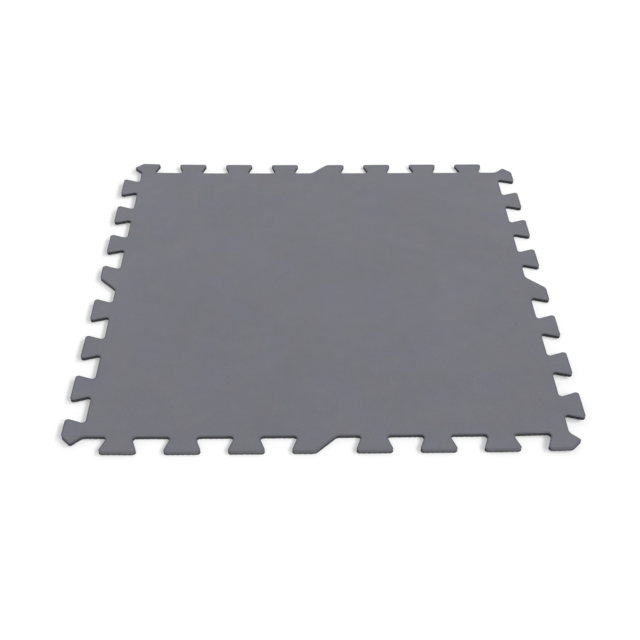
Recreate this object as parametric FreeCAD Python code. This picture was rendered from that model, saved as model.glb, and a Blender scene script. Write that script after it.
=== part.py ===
import FreeCAD, Part
import math
import os

# A thin interlocking foam tile, laid flat. The origin is the middle of the
# underside, +Z is up, and every length is in millimetres.

# Outline: the tile fills a square cell of the laid floor, and its teeth cross
# the cell's sides by half their depth, out over the neighbours and in again.
CELL_SIDE = 480.0
TEETH_PER_SIDE = 8
TOOTH_DEPTH = 20.0
TOOTH_FLARE = 7.0
CORNER_RADIUS = 3.2
SLANT_RADIUS = 7.5
POINT_RADIUS = 2.0

# Layers, from the floor up.
BASE_THICKNESS = 0.4
CORE_THICKNESS = 3.2
FACE_THICKNESS = 0.4

TURNS = 4
FLANK_SPACING = CELL_SIDE / (2 * TEETH_PER_SIDE)
HALF_DEPTH = TOOTH_DEPTH / 2
HALF_FLARE = TOOTH_FLARE / 2


def flank_corners(number):
    """The two corners of one tooth flank, as (along the side, outwards, radius)."""
    along = number * FLANK_SPACING
    begins_tooth = number % 2 == 1
    slanted = number == TEETH_PER_SIDE
    if slanted:
        head = (along - HALF_DEPTH, HALF_DEPTH, SLANT_RADIUS)
        root = (along + HALF_DEPTH, -HALF_DEPTH, SLANT_RADIUS)
        return [head, root]
    if begins_tooth:
        root = (along + HALF_FLARE, -HALF_DEPTH, CORNER_RADIUS)
        head = (along - HALF_FLARE, HALF_DEPTH, CORNER_RADIUS)
        return [root, head]
    head = (along + HALF_FLARE, HALF_DEPTH, CORNER_RADIUS)
    root = (along - HALF_FLARE, -HALF_DEPTH, CORNER_RADIUS)
    return [head, root]


def side_corners():
    """One side's corners, from the point at one corner of the cell to the next point.

    The first and last flanks run at 45 degrees between the head of a corner
    tooth, the point and the root of the first notch.
    """
    corners = [(0.0, 0.0, POINT_RADIUS), (HALF_DEPTH, -HALF_DEPTH, SLANT_RADIUS)]
    for number in range(1, 2 * TEETH_PER_SIDE):
        corners += flank_corners(number)
    corners.append((CELL_SIDE - HALF_DEPTH, HALF_DEPTH, SLANT_RADIUS))
    return corners


def tile_corners():
    """The whole outline's corners, anticlockwise from the front left point."""
    corners = []
    for turn in range(TURNS):
        rotation = FreeCAD.Rotation(FreeCAD.Vector(0, 0, 1), turn * 360.0 / TURNS)
        for along, outwards, radius in side_corners():
            on_front = FreeCAD.Vector(along - CELL_SIDE / 2, -CELL_SIDE / 2 - outwards, 0)
            corners.append((rotation.multVec(on_front), radius))
    return corners


def corner_arc(before, corner, after, radius):
    """The arc that rounds a corner, as its start, middle and end points."""
    back = (before - corner).normalize()
    ahead = (after - corner).normalize()
    half_angle = back.getAngle(ahead) / 2
    setback = radius / math.tan(half_angle)
    bisector = (back + ahead).normalize()
    reach = radius / math.sin(half_angle) - radius
    return corner + back * setback, corner + bisector * reach, corner + ahead * setback


def outline_wire():
    """The die-cut outline, as straight flanks joined by arcs."""
    corners = tile_corners()
    arcs = []
    for i, (corner, radius) in enumerate(corners):
        before = corners[i - 1][0]
        after = corners[(i + 1) % len(corners)][0]
        arcs.append(corner_arc(before, corner, after, radius))
    edges = []
    for i, (start, middle, end) in enumerate(arcs):
        edges.append(Part.Arc(start, middle, end).toShape())
        next_start = arcs[(i + 1) % len(arcs)][0]
        edges.append(Part.LineSegment(end, next_start).toShape())
    return Part.Wire(edges)


def layer(outline, bottom, thickness):
    """One layer of the laminate, cut to the tile's outline."""
    sheet = Part.Face(outline).extrude(FreeCAD.Vector(0, 0, thickness))
    sheet.translate(FreeCAD.Vector(0, 0, bottom))
    return sheet


def main():
    outline = outline_wire()
    core_bottom = BASE_THICKNESS
    face_bottom = core_bottom + CORE_THICKNESS
    nodes = {
        "base_skin": layer(outline, 0.0, BASE_THICKNESS),
        "foam_core": layer(outline, core_bottom, CORE_THICKNESS),
        "face_skin": layer(outline, face_bottom, FACE_THICKNESS),
    }
    os.makedirs("parts", exist_ok=True)
    for name, shape in nodes.items():
        shape.exportStep(f"parts/{name}.step")


main()
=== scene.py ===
import math

import bpy
import numpy as np
from mathutils import Matrix, Vector
from mathutils.geometry import delaunay_2d_cdt


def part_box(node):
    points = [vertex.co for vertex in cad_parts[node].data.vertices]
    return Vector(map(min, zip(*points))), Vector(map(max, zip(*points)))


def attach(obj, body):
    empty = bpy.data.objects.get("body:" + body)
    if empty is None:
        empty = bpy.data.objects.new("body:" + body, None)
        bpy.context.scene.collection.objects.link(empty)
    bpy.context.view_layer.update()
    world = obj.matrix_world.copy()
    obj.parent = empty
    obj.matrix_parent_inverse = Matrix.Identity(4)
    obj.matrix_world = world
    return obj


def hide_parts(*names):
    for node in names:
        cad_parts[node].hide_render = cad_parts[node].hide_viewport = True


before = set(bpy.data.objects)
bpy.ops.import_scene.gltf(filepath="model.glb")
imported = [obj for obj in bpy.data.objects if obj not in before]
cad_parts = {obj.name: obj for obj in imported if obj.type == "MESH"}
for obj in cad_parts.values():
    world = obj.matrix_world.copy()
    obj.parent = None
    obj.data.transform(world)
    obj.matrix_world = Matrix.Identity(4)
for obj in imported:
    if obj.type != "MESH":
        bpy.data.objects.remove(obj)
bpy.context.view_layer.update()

# A thin interlocking foam tile lying on the floor. Lengths are in metres, and
# the frame is the CAD's: origin in the middle of the underside, +Z up.

MM = 0.001

# Outline, as in the CAD: the teeth cross the sides of a square cell by half
# their depth.
TEETH_PER_SIDE = 8
TOOTH_DEPTH = 20 * MM
TOOTH_FLARE = 7 * MM
CORNER_RADIUS = 3.2 * MM
SLANT_RADIUS = 7.5 * MM
POINT_RADIUS = 2.0 * MM
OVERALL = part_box("face_skin")[1].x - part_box("face_skin")[0].x
CELL_SIDE = OVERALL - TOOTH_DEPTH
FLANK_SPACING = CELL_SIDE / (2 * TEETH_PER_SIDE)
HALF_DEPTH = TOOTH_DEPTH / 2
HALF_FLARE = TOOTH_FLARE / 2

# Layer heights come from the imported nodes.
BASE_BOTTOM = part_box("base_skin")[0].z
BASE_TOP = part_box("base_skin")[1].z
CORE_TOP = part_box("foam_core")[1].z
FACE_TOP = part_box("face_skin")[1].z

# How finely the outline is sampled.
ARC_STEP = math.radians(12)
FLANK_STEP = 2.0 * MM

# Waves are given as shortest, longest and how many.
WAVE_COUNT = 9
FACE_WAVES = (45 * MM, 110 * MM, WAVE_COUNT)
CUT_WAVES = (14 * MM, 60 * MM, 20)
TEAR_WAVES = (1.6 * MM, 7 * MM, 24)

# Die-cut edge.
CUT_WOBBLE = 0.10 * MM
ROLL_WIDTH = 1.2 * MM
ROLL_STEPS = 7
RIM_FADE = 0.5 * MM
WALL_STEPS = 8
WALL_HOLLOW = 0.14 * MM
CELL_ROUGHNESS = 0.05 * MM
HEEL = 0.12 * MM

# Painted light on the cut wall: palest at the top of the tips, a little in the roots; the flanks and
# the foot of each wall keep the dark foam colour as painted shade.
TIP_REACH = 5.0 * MM
ROOT_PAINTED_LIGHT = 0.18
FACING_FROM = 0.3

# Meshes.
GRID = 5.0 * MM
HIDDEN_GRID = 15.0 * MM
GRID_JITTER = 0.15
POINTS_AT_ONCE = 400
TRIANGLE_HEIGHT = math.sqrt(0.75)
MERGE_BELOW = 1e-8
PADS_MERGE_BELOW = 0.02 * MM
SMOOTH_BELOW = math.radians(40)
PADS_SMOOTH_BELOW = math.radians(15)

# Smooth face.
WAVE_HEIGHT = 0.05 * MM

# Embossed underside: flat-topped pads on a lattice turned by 45 degrees.
PAD_PITCH = 7.0 * MM
PAD_FOOT = 0.40 * PAD_PITCH
PAD_CROWN = 0.33 * PAD_PITCH
GROOVE_DEPTH = 0.25 * MM
DIAGONAL = math.sqrt(0.5)

# How far the tile's corners and sides have curled up off the floor, going
# anticlockwise from the front left corner and from the front side.
CORNER_LIFTS = [0.0 * MM, 0.6 * MM, 0.0 * MM, 1.5 * MM]
SIDE_LIFTS = [0.0 * MM, 0.3 * MM, 0.0 * MM, 1.9 * MM]
TOOTH_LIFT = 0.35 * MM

# Where the curl begins, as a share of the way from the middle to the corner or side.
CORNER_LIFT_FROM = 0.3
SIDE_LIFT_FROM = 0.5

# A ripple in the right side, near the front.
RIPPLE_HEIGHT = 2.6 * MM
RIPPLE_AT = -190 * MM
RIPPLE_REACH = 60 * MM

# Colours, finishes and the middle range of Blender's noise.
FACE_COLOUR = (0.1325, 0.1300, 0.1495)
FACE_COLOUR_BLUER = (0.1245, 0.1280, 0.1585)
CORE_COLOUR = (0.030, 0.030, 0.034)
# Painted light: the colour the cut wall is lightened to where it faces out near the top of the tips.
CORE_COLOUR_PAINTED_LIT = (0.130, 0.129, 0.140)
BASE_COLOUR = (0.040, 0.040, 0.045)
BASE_COLOUR_RUBBED = (0.075, 0.075, 0.084)
# Painted shade: how much darker the face is drawn on its rolled rim.
RIM_PAINTED_SHADE = 0.72
FACE_ROUGHNESS = (0.60, 0.72)
CORE_ROUGHNESS = (0.82, 0.95)
BASE_ROUGHNESS = (0.72, 0.86)
FACE_SPECULAR = 0.5
CORE_SPECULAR = 0.15
BASE_SPECULAR = 0.3
FACE_SHEEN = 0.12
FACE_SHEEN_ROUGHNESS = 0.5
NOISE_LOW, NOISE_HIGH = 0.25, 0.75

# A white table that glows a little, which thins the shadows beside the tile.
FLOOR_REACH = 6.0
FLOOR_ALBEDO = 0.62
FLOOR_GLOW = 0.30
FLOOR_ROUGHNESS = 0.9
FLOOR_SPECULAR = 0.1

# A studio that is brightest round the horizon, and two soft keys on the right,
# the second one nearer the front, as where each comes from and its strength.
HORIZON = 1.0
ZENITH = 0.49
KEYS = [(Vector((1.0, 0.10, 0.9)), 1.21), (Vector((1.0, -0.80, 0.9)), 1.43)]
KEY_ANGLE = 0.3

# Camera.
AZIMUTH = -0.0196
ELEVATION = 0.7107
ROLL = 0.0070
DISTANCE = 1.0586
LOOK_AT = Vector((-0.00349, -0.05817, 0.0))
LENS = 55.11
SENSOR_WIDTH = 36

SEED = 421
rng = np.random.default_rng(SEED)


# ---------------------------------------------------------------- outline

def unit(vector):
    return vector / np.linalg.norm(vector)


def side_corners():
    """One side's corners, as (along the side, outwards, radius)."""
    corners = [(0.0, 0.0, POINT_RADIUS), (HALF_DEPTH, -HALF_DEPTH, SLANT_RADIUS)]
    for number in range(1, 2 * TEETH_PER_SIDE):
        along = number * FLANK_SPACING
        if number == TEETH_PER_SIDE:
            corners.append((along - HALF_DEPTH, HALF_DEPTH, SLANT_RADIUS))
            corners.append((along + HALF_DEPTH, -HALF_DEPTH, SLANT_RADIUS))
        elif number % 2 == 1:
            corners.append((along + HALF_FLARE, -HALF_DEPTH, CORNER_RADIUS))
            corners.append((along - HALF_FLARE, HALF_DEPTH, CORNER_RADIUS))
        else:
            corners.append((along + HALF_FLARE, HALF_DEPTH, CORNER_RADIUS))
            corners.append((along - HALF_FLARE, -HALF_DEPTH, CORNER_RADIUS))
    corners.append((CELL_SIDE - HALF_DEPTH, HALF_DEPTH, SLANT_RADIUS))
    return corners


def tile_corners():
    """All corners anticlockwise from the front left point, with their radii."""
    points, radii = [], []
    for turn in range(4):
        cos, sin = round(math.cos(turn * math.pi / 2)), round(math.sin(turn * math.pi / 2))
        for along, outwards, radius in side_corners():
            x, y = along - CELL_SIDE / 2, -CELL_SIDE / 2 - outwards
            points.append(np.array([cos * x - sin * y, sin * x + cos * y]))
            radii.append(radius)
    return points, radii


def sampled_outline():
    """Points round the outline, anticlockwise."""
    corners, radii = tile_corners()
    points = []
    for i, (corner, radius) in enumerate(zip(corners, radii)):
        back = unit(corners[i - 1] - corner)
        ahead = unit(corners[(i + 1) % len(corners)] - corner)
        half_angle = math.acos(float(back @ ahead)) / 2
        centre = corner + unit(back + ahead) * radius / math.sin(half_angle)
        start = corner + back * radius / math.tan(half_angle)
        first = math.atan2(start[1] - centre[1], start[0] - centre[0])
        turn = math.copysign(math.pi - 2 * half_angle, ahead[0] * back[1] - ahead[1] * back[0])
        steps = max(2, math.ceil(abs(turn) / ARC_STEP))
        for k in range(steps + 1):
            angle = first + turn * k / steps
            points.append(centre + radius * np.array([math.cos(angle), math.sin(angle)]))
        next_corner = corners[(i + 1) % len(corners)]
        next_radius = radii[(i + 1) % len(corners)]
        next_ahead = unit(corners[(i + 2) % len(corners)] - next_corner)
        next_half = math.acos(float(-ahead @ next_ahead)) / 2
        end = next_corner - ahead * next_radius / math.tan(next_half)
        run = end - points[-1]
        steps = max(1, round(float(np.linalg.norm(run)) / FLANK_STEP))
        points += [points[-1] + run * k / steps for k in range(1, steps)]
    return np.array(points)


def outward_normals(loop):
    """Unit normals of an anticlockwise loop, at its points."""
    ahead = np.roll(loop, -1, axis=0) - loop
    ahead /= np.linalg.norm(ahead, axis=1, keepdims=True)
    along = ahead + np.roll(ahead, 1, axis=0)
    along /= np.linalg.norm(along, axis=1, keepdims=True)
    return np.stack([along[:, 1], -along[:, 0]], axis=1)


def loop_distance(loop):
    """Distance run along a loop at each of its points, and the whole length."""
    steps = np.linalg.norm(np.roll(loop, -1, axis=0) - loop, axis=1)
    return np.concatenate([[0.0], np.cumsum(steps)[:-1]]), float(steps.sum())


def normals_along(loop, points):
    """Outward normals at points that lie on a loop, blended between its own points."""
    normals = outward_normals(loop)
    run, length = loop_distance(loop)
    nearest = ((points[:, None] - loop[None]) ** 2).sum(axis=2).argmin(axis=1)
    tangents = np.stack([-normals[:, 1], normals[:, 0]], axis=1)
    place = run[nearest] + ((points - loop[nearest]) * tangents[nearest]).sum(axis=1)
    blended = [np.interp(place, run, normals[:, k], period=length) for k in range(2)]
    blended = np.stack(blended, axis=1)
    return blended / np.linalg.norm(blended, axis=1, keepdims=True)


def loop_noise(loop, shortest, longest, count):
    """Smooth noise of about unit height round a loop, from closed sine waves."""
    run, length = loop_distance(loop)
    total = np.zeros(len(loop))
    for wave in np.exp(rng.uniform(math.log(shortest), math.log(longest), count)):
        turns = max(1, round(length / wave))
        total += np.sin(2 * math.pi * turns * run / length + rng.uniform(0, 2 * math.pi))
    return total / math.sqrt(count)


# ---------------------------------------------------------------- shape in height

def make_waves(shortest, longest, count):
    """Random plane waves, as wave vectors and phases."""
    directions = rng.uniform(0, 2 * math.pi, count)
    numbers = 2 * math.pi / rng.uniform(shortest, longest, count)
    vectors = np.stack([numbers * np.cos(directions), numbers * np.sin(directions)])
    return vectors, rng.uniform(0, 2 * math.pi, count)


WAVES = make_waves(*FACE_WAVES)
tooth_lifts = rng.uniform(0, TOOTH_LIFT, (4, TEETH_PER_SIDE + 1))


def waviness(xy):
    vectors, phases = WAVES
    return np.sin(xy @ vectors + phases).sum(axis=1) / math.sqrt(len(phases))


def eased(value, start):
    """Nothing up to a start, then growing with the square, to 1 at 1."""
    return np.clip((value - start) / (1 - start), 0, None) ** 2


def rise(xy):
    """How far the tile has lifted off the floor at each point."""
    x, y = xy[:, 0] / (OVERALL / 2), xy[:, 1] / (OVERALL / 2)
    lift = np.zeros(len(xy))
    for side_x, side_y, height in zip((-1, 1, 1, -1), (-1, -1, 1, 1), CORNER_LIFTS):
        lift += height * eased((side_x * x + side_y * y) / 2, CORNER_LIFT_FROM)
    for across, along, height, lifts in zip((-y, x, y, -x), (x, y, -x, -y), SIDE_LIFTS, tooth_lifts):
        lift += height * eased(across, SIDE_LIFT_FROM)
        root = 1 - TOOTH_DEPTH / (OVERALL / 2)
        out = np.clip((across - root) / (1 - root), 0, 1) ** 2
        place = np.clip((along * OVERALL / 2 + CELL_SIDE / 2) / (2 * FLANK_SPACING), 0, TEETH_PER_SIDE)
        lift += out * np.interp(place, np.arange(TEETH_PER_SIDE + 1), lifts)
    ripple = np.exp(-((xy[:, 1] - RIPPLE_AT) / RIPPLE_REACH) ** 2 / 2)
    lift += RIPPLE_HEIGHT * ripple * eased(x, SIDE_LIFT_FROM)
    return lift


def crown_height(xy):
    """Height of the smooth face, which waves a little and never tops the CAD's."""
    return FACE_TOP - WAVE_HEIGHT * (1 - waviness(xy) / math.sqrt(WAVE_COUNT))


def pad_height(xy):
    """Height of the embossed underside above its pads' crowns."""
    u = (xy[:, 0] + xy[:, 1]) * DIAGONAL / PAD_PITCH
    v = (xy[:, 1] - xy[:, 0]) * DIAGONAL / PAD_PITCH
    off_centre = np.maximum(abs(u - np.round(u)), abs(v - np.round(v))) * PAD_PITCH
    return GROOVE_DEPTH * np.clip((off_centre - PAD_CROWN) / (PAD_FOOT - PAD_CROWN), 0, 1)


# ---------------------------------------------------------------- mesh tools

def filled(loop, inner=(), edges=(), merge_below=MERGE_BELOW):
    """Triangles over the inside of a loop, through the inner points and edges.

    Returns the points, the triangles and the border, anticlockwise, as indices.
    """
    points = [Vector(p) for p in loop] + [Vector(p) for p in inner]
    shifted = [(a + len(loop), b + len(loop)) for a, b in edges]
    made = delaunay_2d_cdt(points, shifted, [list(range(len(loop)))], 0, merge_below, True)
    triangles = [t for t, inside in zip(made[2], made[5]) if inside]
    directed = {(t[k], t[(k + 1) % 3]) for t in triangles for k in range(3)}
    following = {a: b for a, b in directed if (b, a) not in directed}
    border = [min(following)]
    while following[border[-1]] != border[0]:
        border.append(following[border[-1]])
        if len(border) > len(following):
            raise ValueError("the border isn't one loop")
    used = np.unique(np.array(triangles))
    new = np.zeros(len(made[0]), dtype=int)
    new[used] = np.arange(len(used))
    coordinates = np.array([tuple(made[0][i]) for i in used])
    return coordinates, new[np.array(triangles)], new[border]


def scattered(loop, spacing):
    """A jittered triangular grid of points inside a loop, clear of it by half a step."""
    reach = OVERALL / 2
    rows = np.arange(-reach, reach, spacing * TRIANGLE_HEIGHT)
    columns = np.arange(-reach, reach, spacing)
    points = np.array([(x + (k % 2) * spacing / 2, y) for k, y in enumerate(rows) for x in columns])
    points += rng.uniform(-GRID_JITTER, GRID_JITTER, points.shape) * spacing
    normals = outward_normals(loop)
    kept = []
    for block in np.array_split(points, max(1, len(points) // POINTS_AT_ONCE)):
        offsets = block[:, None, :] - loop[None, :, :]
        nearest = (offsets ** 2).sum(axis=2).argmin(axis=1)
        offset = offsets[np.arange(len(block)), nearest]
        depth = -(offset * normals[nearest]).sum(axis=1)
        kept.append(block[(depth > 0) & (np.linalg.norm(offset, axis=1) > spacing / 2)])
    return np.concatenate(kept)


class Shell:
    """A closed mesh built from rings of points, with a filled area at each end."""

    def __init__(self):
        self.points, self.wear_and_painted_light, self.faces, self.count = [], [], [], 0

    def add(self, points, wear_and_painted_light=0.0):
        """Adds points with their mark for painted light, painted shade or wear, from 0 to 1, and
        returns their indices.
        """
        first = self.count
        self.points.append(points)
        self.wear_and_painted_light.append(np.broadcast_to(wear_and_painted_light, len(points)))
        self.count += len(points)
        return np.arange(first, self.count)

    def strip(self, lower, upper):
        """Faces between two rings; they face outwards if the rings go up."""
        for i in range(len(lower)):
            j = (i + 1) % len(lower)
            self.faces.append((lower[i], lower[j], upper[j], upper[i]))

    def fill(self, triangles, index, facing_up):
        for a, b, c in triangles:
            corners = (index[a], index[b], index[c])
            self.faces.append(corners if facing_up else corners[::-1])

    def cap(self, loop, height, ring, facing_up):
        """A hidden face at one height over a ring that is already in the mesh."""
        points, triangles, border = filled(loop, scattered(loop, HIDDEN_GRID))
        inner = self.add(raised(points[len(loop):], height))
        self.fill(triangles, np.concatenate([ring, inner]), facing_up)

    def piece(self, name, node, slot, material, smooth_below):
        points = np.concatenate(self.points)
        mesh = bpy.data.meshes.new(name)
        mesh.from_pydata(points.tolist(), [], [[int(i) for i in f] for f in self.faces])
        mesh.update()
        mesh.shade_smooth()
        mesh.set_sharp_from_angle(angle=smooth_below)
        mesh.materials.append(material)
        wear_and_painted_light = mesh.attributes.new("wear_and_painted_light", "FLOAT", "POINT")
        wear_and_painted_light.data.foreach_set("value", np.concatenate(self.wear_and_painted_light))
        piece = bpy.data.objects.new(name, mesh)
        bpy.context.scene.collection.objects.link(piece)
        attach(piece, "root")
        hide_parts(node)


def raised(xy, height):
    """Points at a height above the tile's underside, lifted with the tile."""
    return np.column_stack([xy, height + rise(xy)])


# ---------------------------------------------------------------- pieces

def build_face(edge):
    """The smooth face: a sheet whose cut edge is pinched and rolled over."""
    inner_loop = edge - outward_normals(edge) * (ROLL_WIDTH + RIM_FADE)
    points, triangles, border = filled(inner_loop, scattered(inner_loop, GRID))
    shell = Shell()
    top = shell.add(raised(points, crown_height(points)))
    shell.fill(triangles, top, True)
    upper = top[border]
    loop = points[border]
    normals = outward_normals(loop)
    rim = loop + normals * RIM_FADE
    crown = crown_height(rim)
    for step in range(ROLL_STEPS + 1):
        angle = math.pi / 2 * step / ROLL_STEPS
        xy = rim + normals * ROLL_WIDTH * math.sin(angle)
        # The rolled rim's rings are marked 1, where the face gets its painted shade.
        ring = shell.add(raised(xy, CORE_TOP + (crown - CORE_TOP) * math.cos(angle)), 1.0)
        shell.strip(ring, upper)
        upper = ring
    shell.cap(xy, CORE_TOP, upper, False)
    return shell


def painted_light_masks(edge, normals):
    """How squarely a wall faces out of its side, and how near the tips it is, from 0 to 1: where the
    cut wall gets painted light.
    """
    size, facing = abs(edge), abs(normals)
    by_x = size[:, 0] > size[:, 1]
    out = np.where(by_x, size[:, 0], size[:, 1])
    squarely = np.where(by_x, facing[:, 0], facing[:, 1])
    facing_out = np.clip((squarely - FACING_FROM) / (1 - FACING_FROM), 0, 1)
    return facing_out, np.clip(1 - (OVERALL / 2 - out) / TIP_REACH, 0, 1)


def build_core(edge):
    """The foam between the skins, whose cut wall is hollow and a little torn."""
    normals = outward_normals(edge)
    facing, tip = painted_light_masks(edge, normals)
    shell = Shell()
    rings = []
    for step in range(WALL_STEPS + 1):
        part = step / WALL_STEPS
        middle = math.sin(math.pi * part)
        tear = loop_noise(edge, *TEAR_WAVES) * CELL_ROUGHNESS
        inwards = middle * (WALL_HOLLOW + tear)
        xy = edge - normals * inwards[:, None]
        # Painted light and shade: lighter where the wall faces squarely out and up the tips, darker at
        # its foot, on the flanks and in the roots.
        wear_and_painted_light = facing * (ROOT_PAINTED_LIGHT + (1 - ROOT_PAINTED_LIGHT) * tip * part)
        rings.append(shell.add(raised(xy, BASE_TOP + (CORE_TOP - BASE_TOP) * part), wear_and_painted_light))
    for lower, upper in zip(rings, rings[1:]):
        shell.strip(lower, upper)
    shell.cap(edge, BASE_TOP, rings[0], False)
    shell.cap(edge, CORE_TOP, rings[-1], True)
    return shell


def build_base(edge):
    """The embossed underside, with the pads cut through by the outline."""
    normals = outward_normals(edge)
    inner_loop = edge - normals * HEEL
    count = math.ceil(OVERALL / PAD_PITCH)
    corners, edges = [], []
    for i in range(-count, count + 1):
        for j in range(-count, count + 1):
            x, y = (i - j) * PAD_PITCH * DIAGONAL, (i + j) * PAD_PITCH * DIAGONAL
            if max(abs(x), abs(y)) > OVERALL / 2 + PAD_PITCH / 2:
                continue
            for half in (PAD_FOOT, PAD_CROWN):
                first = len(corners)
                reach = half / DIAGONAL
                corners += [(x, y - reach), (x + reach, y), (x, y + reach), (x - reach, y)]
                edges += [(first + k, first + (k + 1) % 4) for k in range(4)]
    points, triangles, border = filled(inner_loop, corners, edges, PADS_MERGE_BELOW)
    shell = Shell()
    relief = pad_height(points)
    low = shell.add(raised(points, BASE_BOTTOM + relief), 1 - relief / GROOVE_DEPTH)
    shell.fill(triangles, low, False)
    rim = points[border]
    outer = rim + normals_along(inner_loop, rim) * HEEL
    heel = shell.add(raised(outer, BASE_BOTTOM + pad_height(rim) + HEEL))
    shell.strip(low[border], heel)
    top = shell.add(raised(outer, BASE_TOP))
    shell.strip(heel, top)
    shell.cap(outer, BASE_TOP, top, True)
    return shell


# ---------------------------------------------------------------- materials

class Nodes:
    """A material's node tree, with short ways to add and join nodes."""

    def __init__(self, name):
        self.material = bpy.data.materials.new(name)
        self.material.use_nodes = True
        self.tree = self.material.node_tree
        self.tree.nodes.clear()
        self.shader = self.add("ShaderNodeBsdfPrincipled")
        output = self.add("ShaderNodeOutputMaterial")
        self.join(self.shader.outputs["BSDF"], output.inputs["Surface"])
        self.place = self.add("ShaderNodeTexCoord").outputs["Object"]

    def add(self, kind, **settings):
        node = self.tree.nodes.new(kind)
        for key, value in settings.items():
            setattr(node, key, value)
        return node

    def join(self, source, target):
        self.tree.links.new(source, target)

    def noise(self, size, detail=2.0, roughness=0.5):
        node = self.add("ShaderNodeTexNoise")
        node.inputs["Scale"].default_value = 1 / size
        node.inputs["Detail"].default_value = detail
        node.inputs["Roughness"].default_value = roughness
        self.join(self.place, node.inputs["Vector"])
        return node.outputs["Fac"]

    def cells(self, size, feature="F1"):
        node = self.add("ShaderNodeTexVoronoi", feature=feature)
        node.inputs["Scale"].default_value = 1 / size
        self.join(self.place, node.inputs["Vector"])
        return node.outputs["Distance"]

    def ramp(self, value, low, high, to_low, to_high):
        node = self.add("ShaderNodeMapRange")
        node.inputs["From Min"].default_value = low
        node.inputs["From Max"].default_value = high
        node.inputs["To Min"].default_value = to_low
        node.inputs["To Max"].default_value = to_high
        self.join(value, node.inputs["Value"])
        return node.outputs["Result"]

    def spread(self, noise, low, high):
        """Noise spread out between two values."""
        return self.ramp(noise, NOISE_LOW, NOISE_HIGH, low, high)

    def varied(self, noise, amount):
        """Noise as a factor that goes up and down from 1 by an amount."""
        return self.spread(noise, 1 - amount, 1 + amount)

    def times(self, first, second):
        node = self.add("ShaderNodeMath", operation="MULTIPLY")
        self.join(first, node.inputs[0])
        self.join(second, node.inputs[1])
        return node.outputs["Value"]

    def mixed(self, amount, first, second):
        node = self.add("ShaderNodeMix", data_type="RGBA")
        node.inputs["A"].default_value = (*first, 1)
        node.inputs["B"].default_value = (*second, 1)
        self.join(amount, node.inputs["Factor"])
        return node.outputs["Result"]

    def shaded(self, colour, strength):
        """A colour made lighter or darker by a value near 1."""
        node = self.add("ShaderNodeVectorMath", operation="SCALE")
        self.join(colour, node.inputs[0])
        self.join(strength, node.inputs["Scale"])
        return node.outputs["Vector"]

    # The mark per point: painted shade on the face's rim, painted light on the cut wall, real wear on
    # the underside's pads.
    def wear_and_painted_light(self):
        return self.add("ShaderNodeAttribute", attribute_name="wear_and_painted_light").outputs["Fac"]

    def streaks(self, size, stretch):
        """Noise drawn out along Z, as a knife leaves it."""
        node = self.add("ShaderNodeMapping")
        node.inputs["Scale"].default_value = (1 / size, 1 / size, 1 / (size * stretch))
        self.join(self.place, node.inputs["Vector"])
        noise = self.add("ShaderNodeTexNoise")
        noise.inputs["Scale"].default_value = 1.0
        self.join(node.outputs["Vector"], noise.inputs["Vector"])
        return noise.outputs["Fac"]

    def bump(self, height, depth, below=None):
        node = self.add("ShaderNodeBump")
        node.inputs["Strength"].default_value = 1.0
        node.inputs["Distance"].default_value = depth
        self.join(height, node.inputs["Height"])
        if below is not None:
            self.join(below, node.inputs["Normal"])
        return node.outputs["Normal"]

    def finish(self, colour, roughness, normal, specular):
        self.join(colour, self.shader.inputs["Base Color"])
        self.join(roughness, self.shader.inputs["Roughness"])
        self.join(normal, self.shader.inputs["Normal"])
        self.shader.inputs["Specular IOR Level"].default_value = specular
        return self.material


def face_material():
    """Moulded foam skin: even grey with faint clouds, a fine pebble grain and painted shade on the
    rolled rim.
    """
    n = Nodes("face_skin_foam")
    hue = n.ramp(n.noise(45 * MM, 4.0, 0.6), 0.35, 0.65, 0.0, 1.0)
    clouds = n.varied(n.noise(100 * MM, 3.0, 0.55), 0.05)
    blotches = n.varied(n.noise(16 * MM, 3.0, 0.6), 0.035)
    speckle = n.varied(n.noise(0.9 * MM, 2.0), 0.04)
    # Painted shade: the rolled rim drawn darker.
    painted_rim_shade = n.ramp(n.wear_and_painted_light(), 0.0, 1.0, 1.0, RIM_PAINTED_SHADE)
    pebble = n.ramp(n.cells(1.1 * MM, "SMOOTH_F1"), 0.0, 0.7, 1.0, 0.0)
    # The hollows between the pebbles are drawn darker.
    grain_hollows_darker = n.ramp(pebble, 0.1, 0.5, 0.93, 1.0)
    shade = n.times(n.times(n.times(n.times(clouds, blotches), speckle), grain_hollows_darker), painted_rim_shade)
    colour = n.shaded(n.mixed(hue, FACE_COLOUR, FACE_COLOUR_BLUER), shade)
    roughness = n.spread(n.noise(14 * MM, 3.0), *FACE_ROUGHNESS)
    fine = n.bump(n.noise(0.45 * MM, 2.0), 0.03 * MM)
    normal = n.bump(pebble, 0.10 * MM, fine)
    n.shader.inputs["Sheen Weight"].default_value = FACE_SHEEN
    n.shader.inputs["Sheen Roughness"].default_value = FACE_SHEEN_ROUGHNESS
    return n.finish(colour, roughness, normal, FACE_SPECULAR)


def core_material():
    """Cut closed-cell foam: dark, with open cells; painted light makes it paler up the tooth tips and
    a little in the roots, and its flanks and foot stay dark as painted shade.
    """
    n = Nodes("foam_core_cut")
    large = n.ramp(n.cells(0.46 * MM), 0.1, 0.6, 0.80, 1.15)
    small = n.ramp(n.cells(0.21 * MM), 0.1, 0.6, 0.88, 1.10)
    cells = n.times(large, small)
    knife = n.streaks(0.5 * MM, 14.0)
    cut = n.varied(knife, 0.10)
    patches = n.varied(n.noise(6 * MM, 3.0), 0.10)
    shade = n.times(n.times(cells, cut), patches)
    # Painted light mixed into the cut wall's dark colour.
    colour = n.shaded(n.mixed(n.wear_and_painted_light(), CORE_COLOUR, CORE_COLOUR_PAINTED_LIT), shade)
    roughness = n.spread(n.noise(1.5 * MM), *CORE_ROUGHNESS)
    normal = n.bump(cells, 0.16 * MM, n.bump(knife, 0.06 * MM))
    return n.finish(colour, roughness, normal, CORE_SPECULAR)


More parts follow.
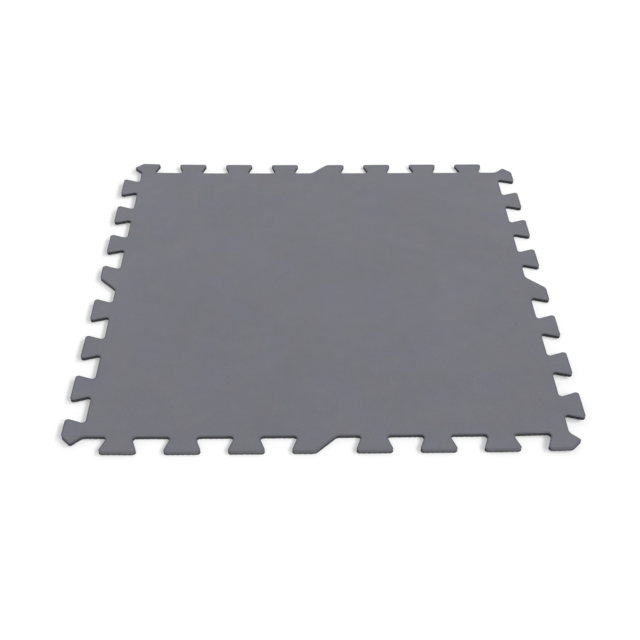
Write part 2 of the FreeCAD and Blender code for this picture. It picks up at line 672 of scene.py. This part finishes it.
def base_material():
    """Embossed foam skin: dark and dull, with the pads' crowns rubbed paler."""
    n = Nodes("base_skin_foam")
    clouds = n.varied(n.noise(60 * MM, 3.0), 0.08)
    speckle = n.varied(n.noise(0.9 * MM, 2.0), 0.06)
    rubbed = n.times(n.wear_and_painted_light(), n.ramp(n.noise(18 * MM, 3.0), 0.3, 0.7, 0.5, 1.0))
    colour = n.shaded(n.mixed(rubbed, BASE_COLOUR, BASE_COLOUR_RUBBED), n.times(clouds, speckle))
    roughness = n.spread(n.noise(9 * MM, 2.0), *BASE_ROUGHNESS)
    normal = n.bump(n.noise(0.7 * MM, 3.0), 0.05 * MM)
    return n.finish(colour, roughness, normal, BASE_SPECULAR)


edge = sampled_outline()
edge = edge + outward_normals(edge) * (loop_noise(edge, *CUT_WAVES) * CUT_WOBBLE / 2)[:, None]

build_face(edge).piece("smooth_face", "face_skin", "face_skin", face_material(), SMOOTH_BELOW)
build_core(edge).piece("cut_foam", "foam_core", "foam_core", core_material(), SMOOTH_BELOW)
build_base(edge).piece("embossed_base", "base_skin", "base_skin", base_material(), PADS_SMOOTH_BELOW)


# ---------------------------------------------------------------- floor and light

def floor_material():
    n = Nodes("floor_paper")
    n.tree.nodes.remove(n.place.node)
    n.shader.inputs["Base Color"].default_value = (FLOOR_ALBEDO, FLOOR_ALBEDO, FLOOR_ALBEDO, 1)
    n.shader.inputs["Emission Color"].default_value = (1, 1, 1, 1)
    n.shader.inputs["Emission Strength"].default_value = FLOOR_GLOW
    n.shader.inputs["Roughness"].default_value = FLOOR_ROUGHNESS
    n.shader.inputs["Specular IOR Level"].default_value = FLOOR_SPECULAR
    return n.material


floor_mesh = bpy.data.meshes.new("floor")
floor_mesh.from_pydata(
    [(x * FLOOR_REACH, y * FLOOR_REACH, 0.0) for x, y in ((-1, -1), (1, -1), (1, 1), (-1, 1))],
    [],
    [(0, 1, 2, 3)],
)
floor_mesh.materials.append(floor_material())
floor = bpy.data.objects.new("floor", floor_mesh)
bpy.context.scene.collection.objects.link(floor)

world = bpy.data.worlds.new("studio")
world.use_nodes = True
sky = world.node_tree
height = sky.nodes.new("ShaderNodeSeparateXYZ")
sky.links.new(sky.nodes.new("ShaderNodeTexCoord").outputs["Generated"], height.inputs["Vector"])
fade = sky.nodes.new("ShaderNodeMapRange")
fade.inputs["To Min"].default_value = HORIZON
fade.inputs["To Max"].default_value = ZENITH
sky.links.new(height.outputs["Z"], fade.inputs["Value"])
sky.links.new(fade.outputs["Result"], sky.nodes["Background"].inputs["Strength"])
sky.nodes["Background"].inputs["Color"].default_value = (1, 1, 1, 1)
bpy.context.scene.world = world

for number, (key_from, energy) in enumerate(KEYS, 1):
    key_data = bpy.data.lights.new(f"key_{number}", "SUN")
    key_data.angle = KEY_ANGLE
    key_data.energy = energy
    key = bpy.data.objects.new(f"key_{number}", key_data)
    key.matrix_world = key_from.to_track_quat("Z", "Y").to_matrix().to_4x4()
    bpy.context.scene.collection.objects.link(key)

# ---------------------------------------------------------------- camera

back = Vector((
    math.sin(AZIMUTH) * math.cos(ELEVATION),
    -math.cos(AZIMUTH) * math.cos(ELEVATION),
    math.sin(ELEVATION),
))
level_right = (-back).cross(Vector((0, 0, 1))).normalized()
level_up = level_right.cross(-back)
right = math.cos(ROLL) * level_right + math.sin(ROLL) * level_up
up = math.cos(ROLL) * level_up - math.sin(ROLL) * level_right
camera_data = bpy.data.cameras.new("camera")
camera_data.lens = LENS
camera_data.sensor_width = SENSOR_WIDTH
camera = bpy.data.objects.new("camera", camera_data)
turned = Matrix((right, up, back)).transposed().to_4x4()
camera.matrix_world = Matrix.Translation(LOOK_AT + back * DISTANCE) @ turned
bpy.context.scene.collection.objects.link(camera)
bpy.context.scene.camera = camera
bpy.context.scene.view_settings.view_transform = "Standard"
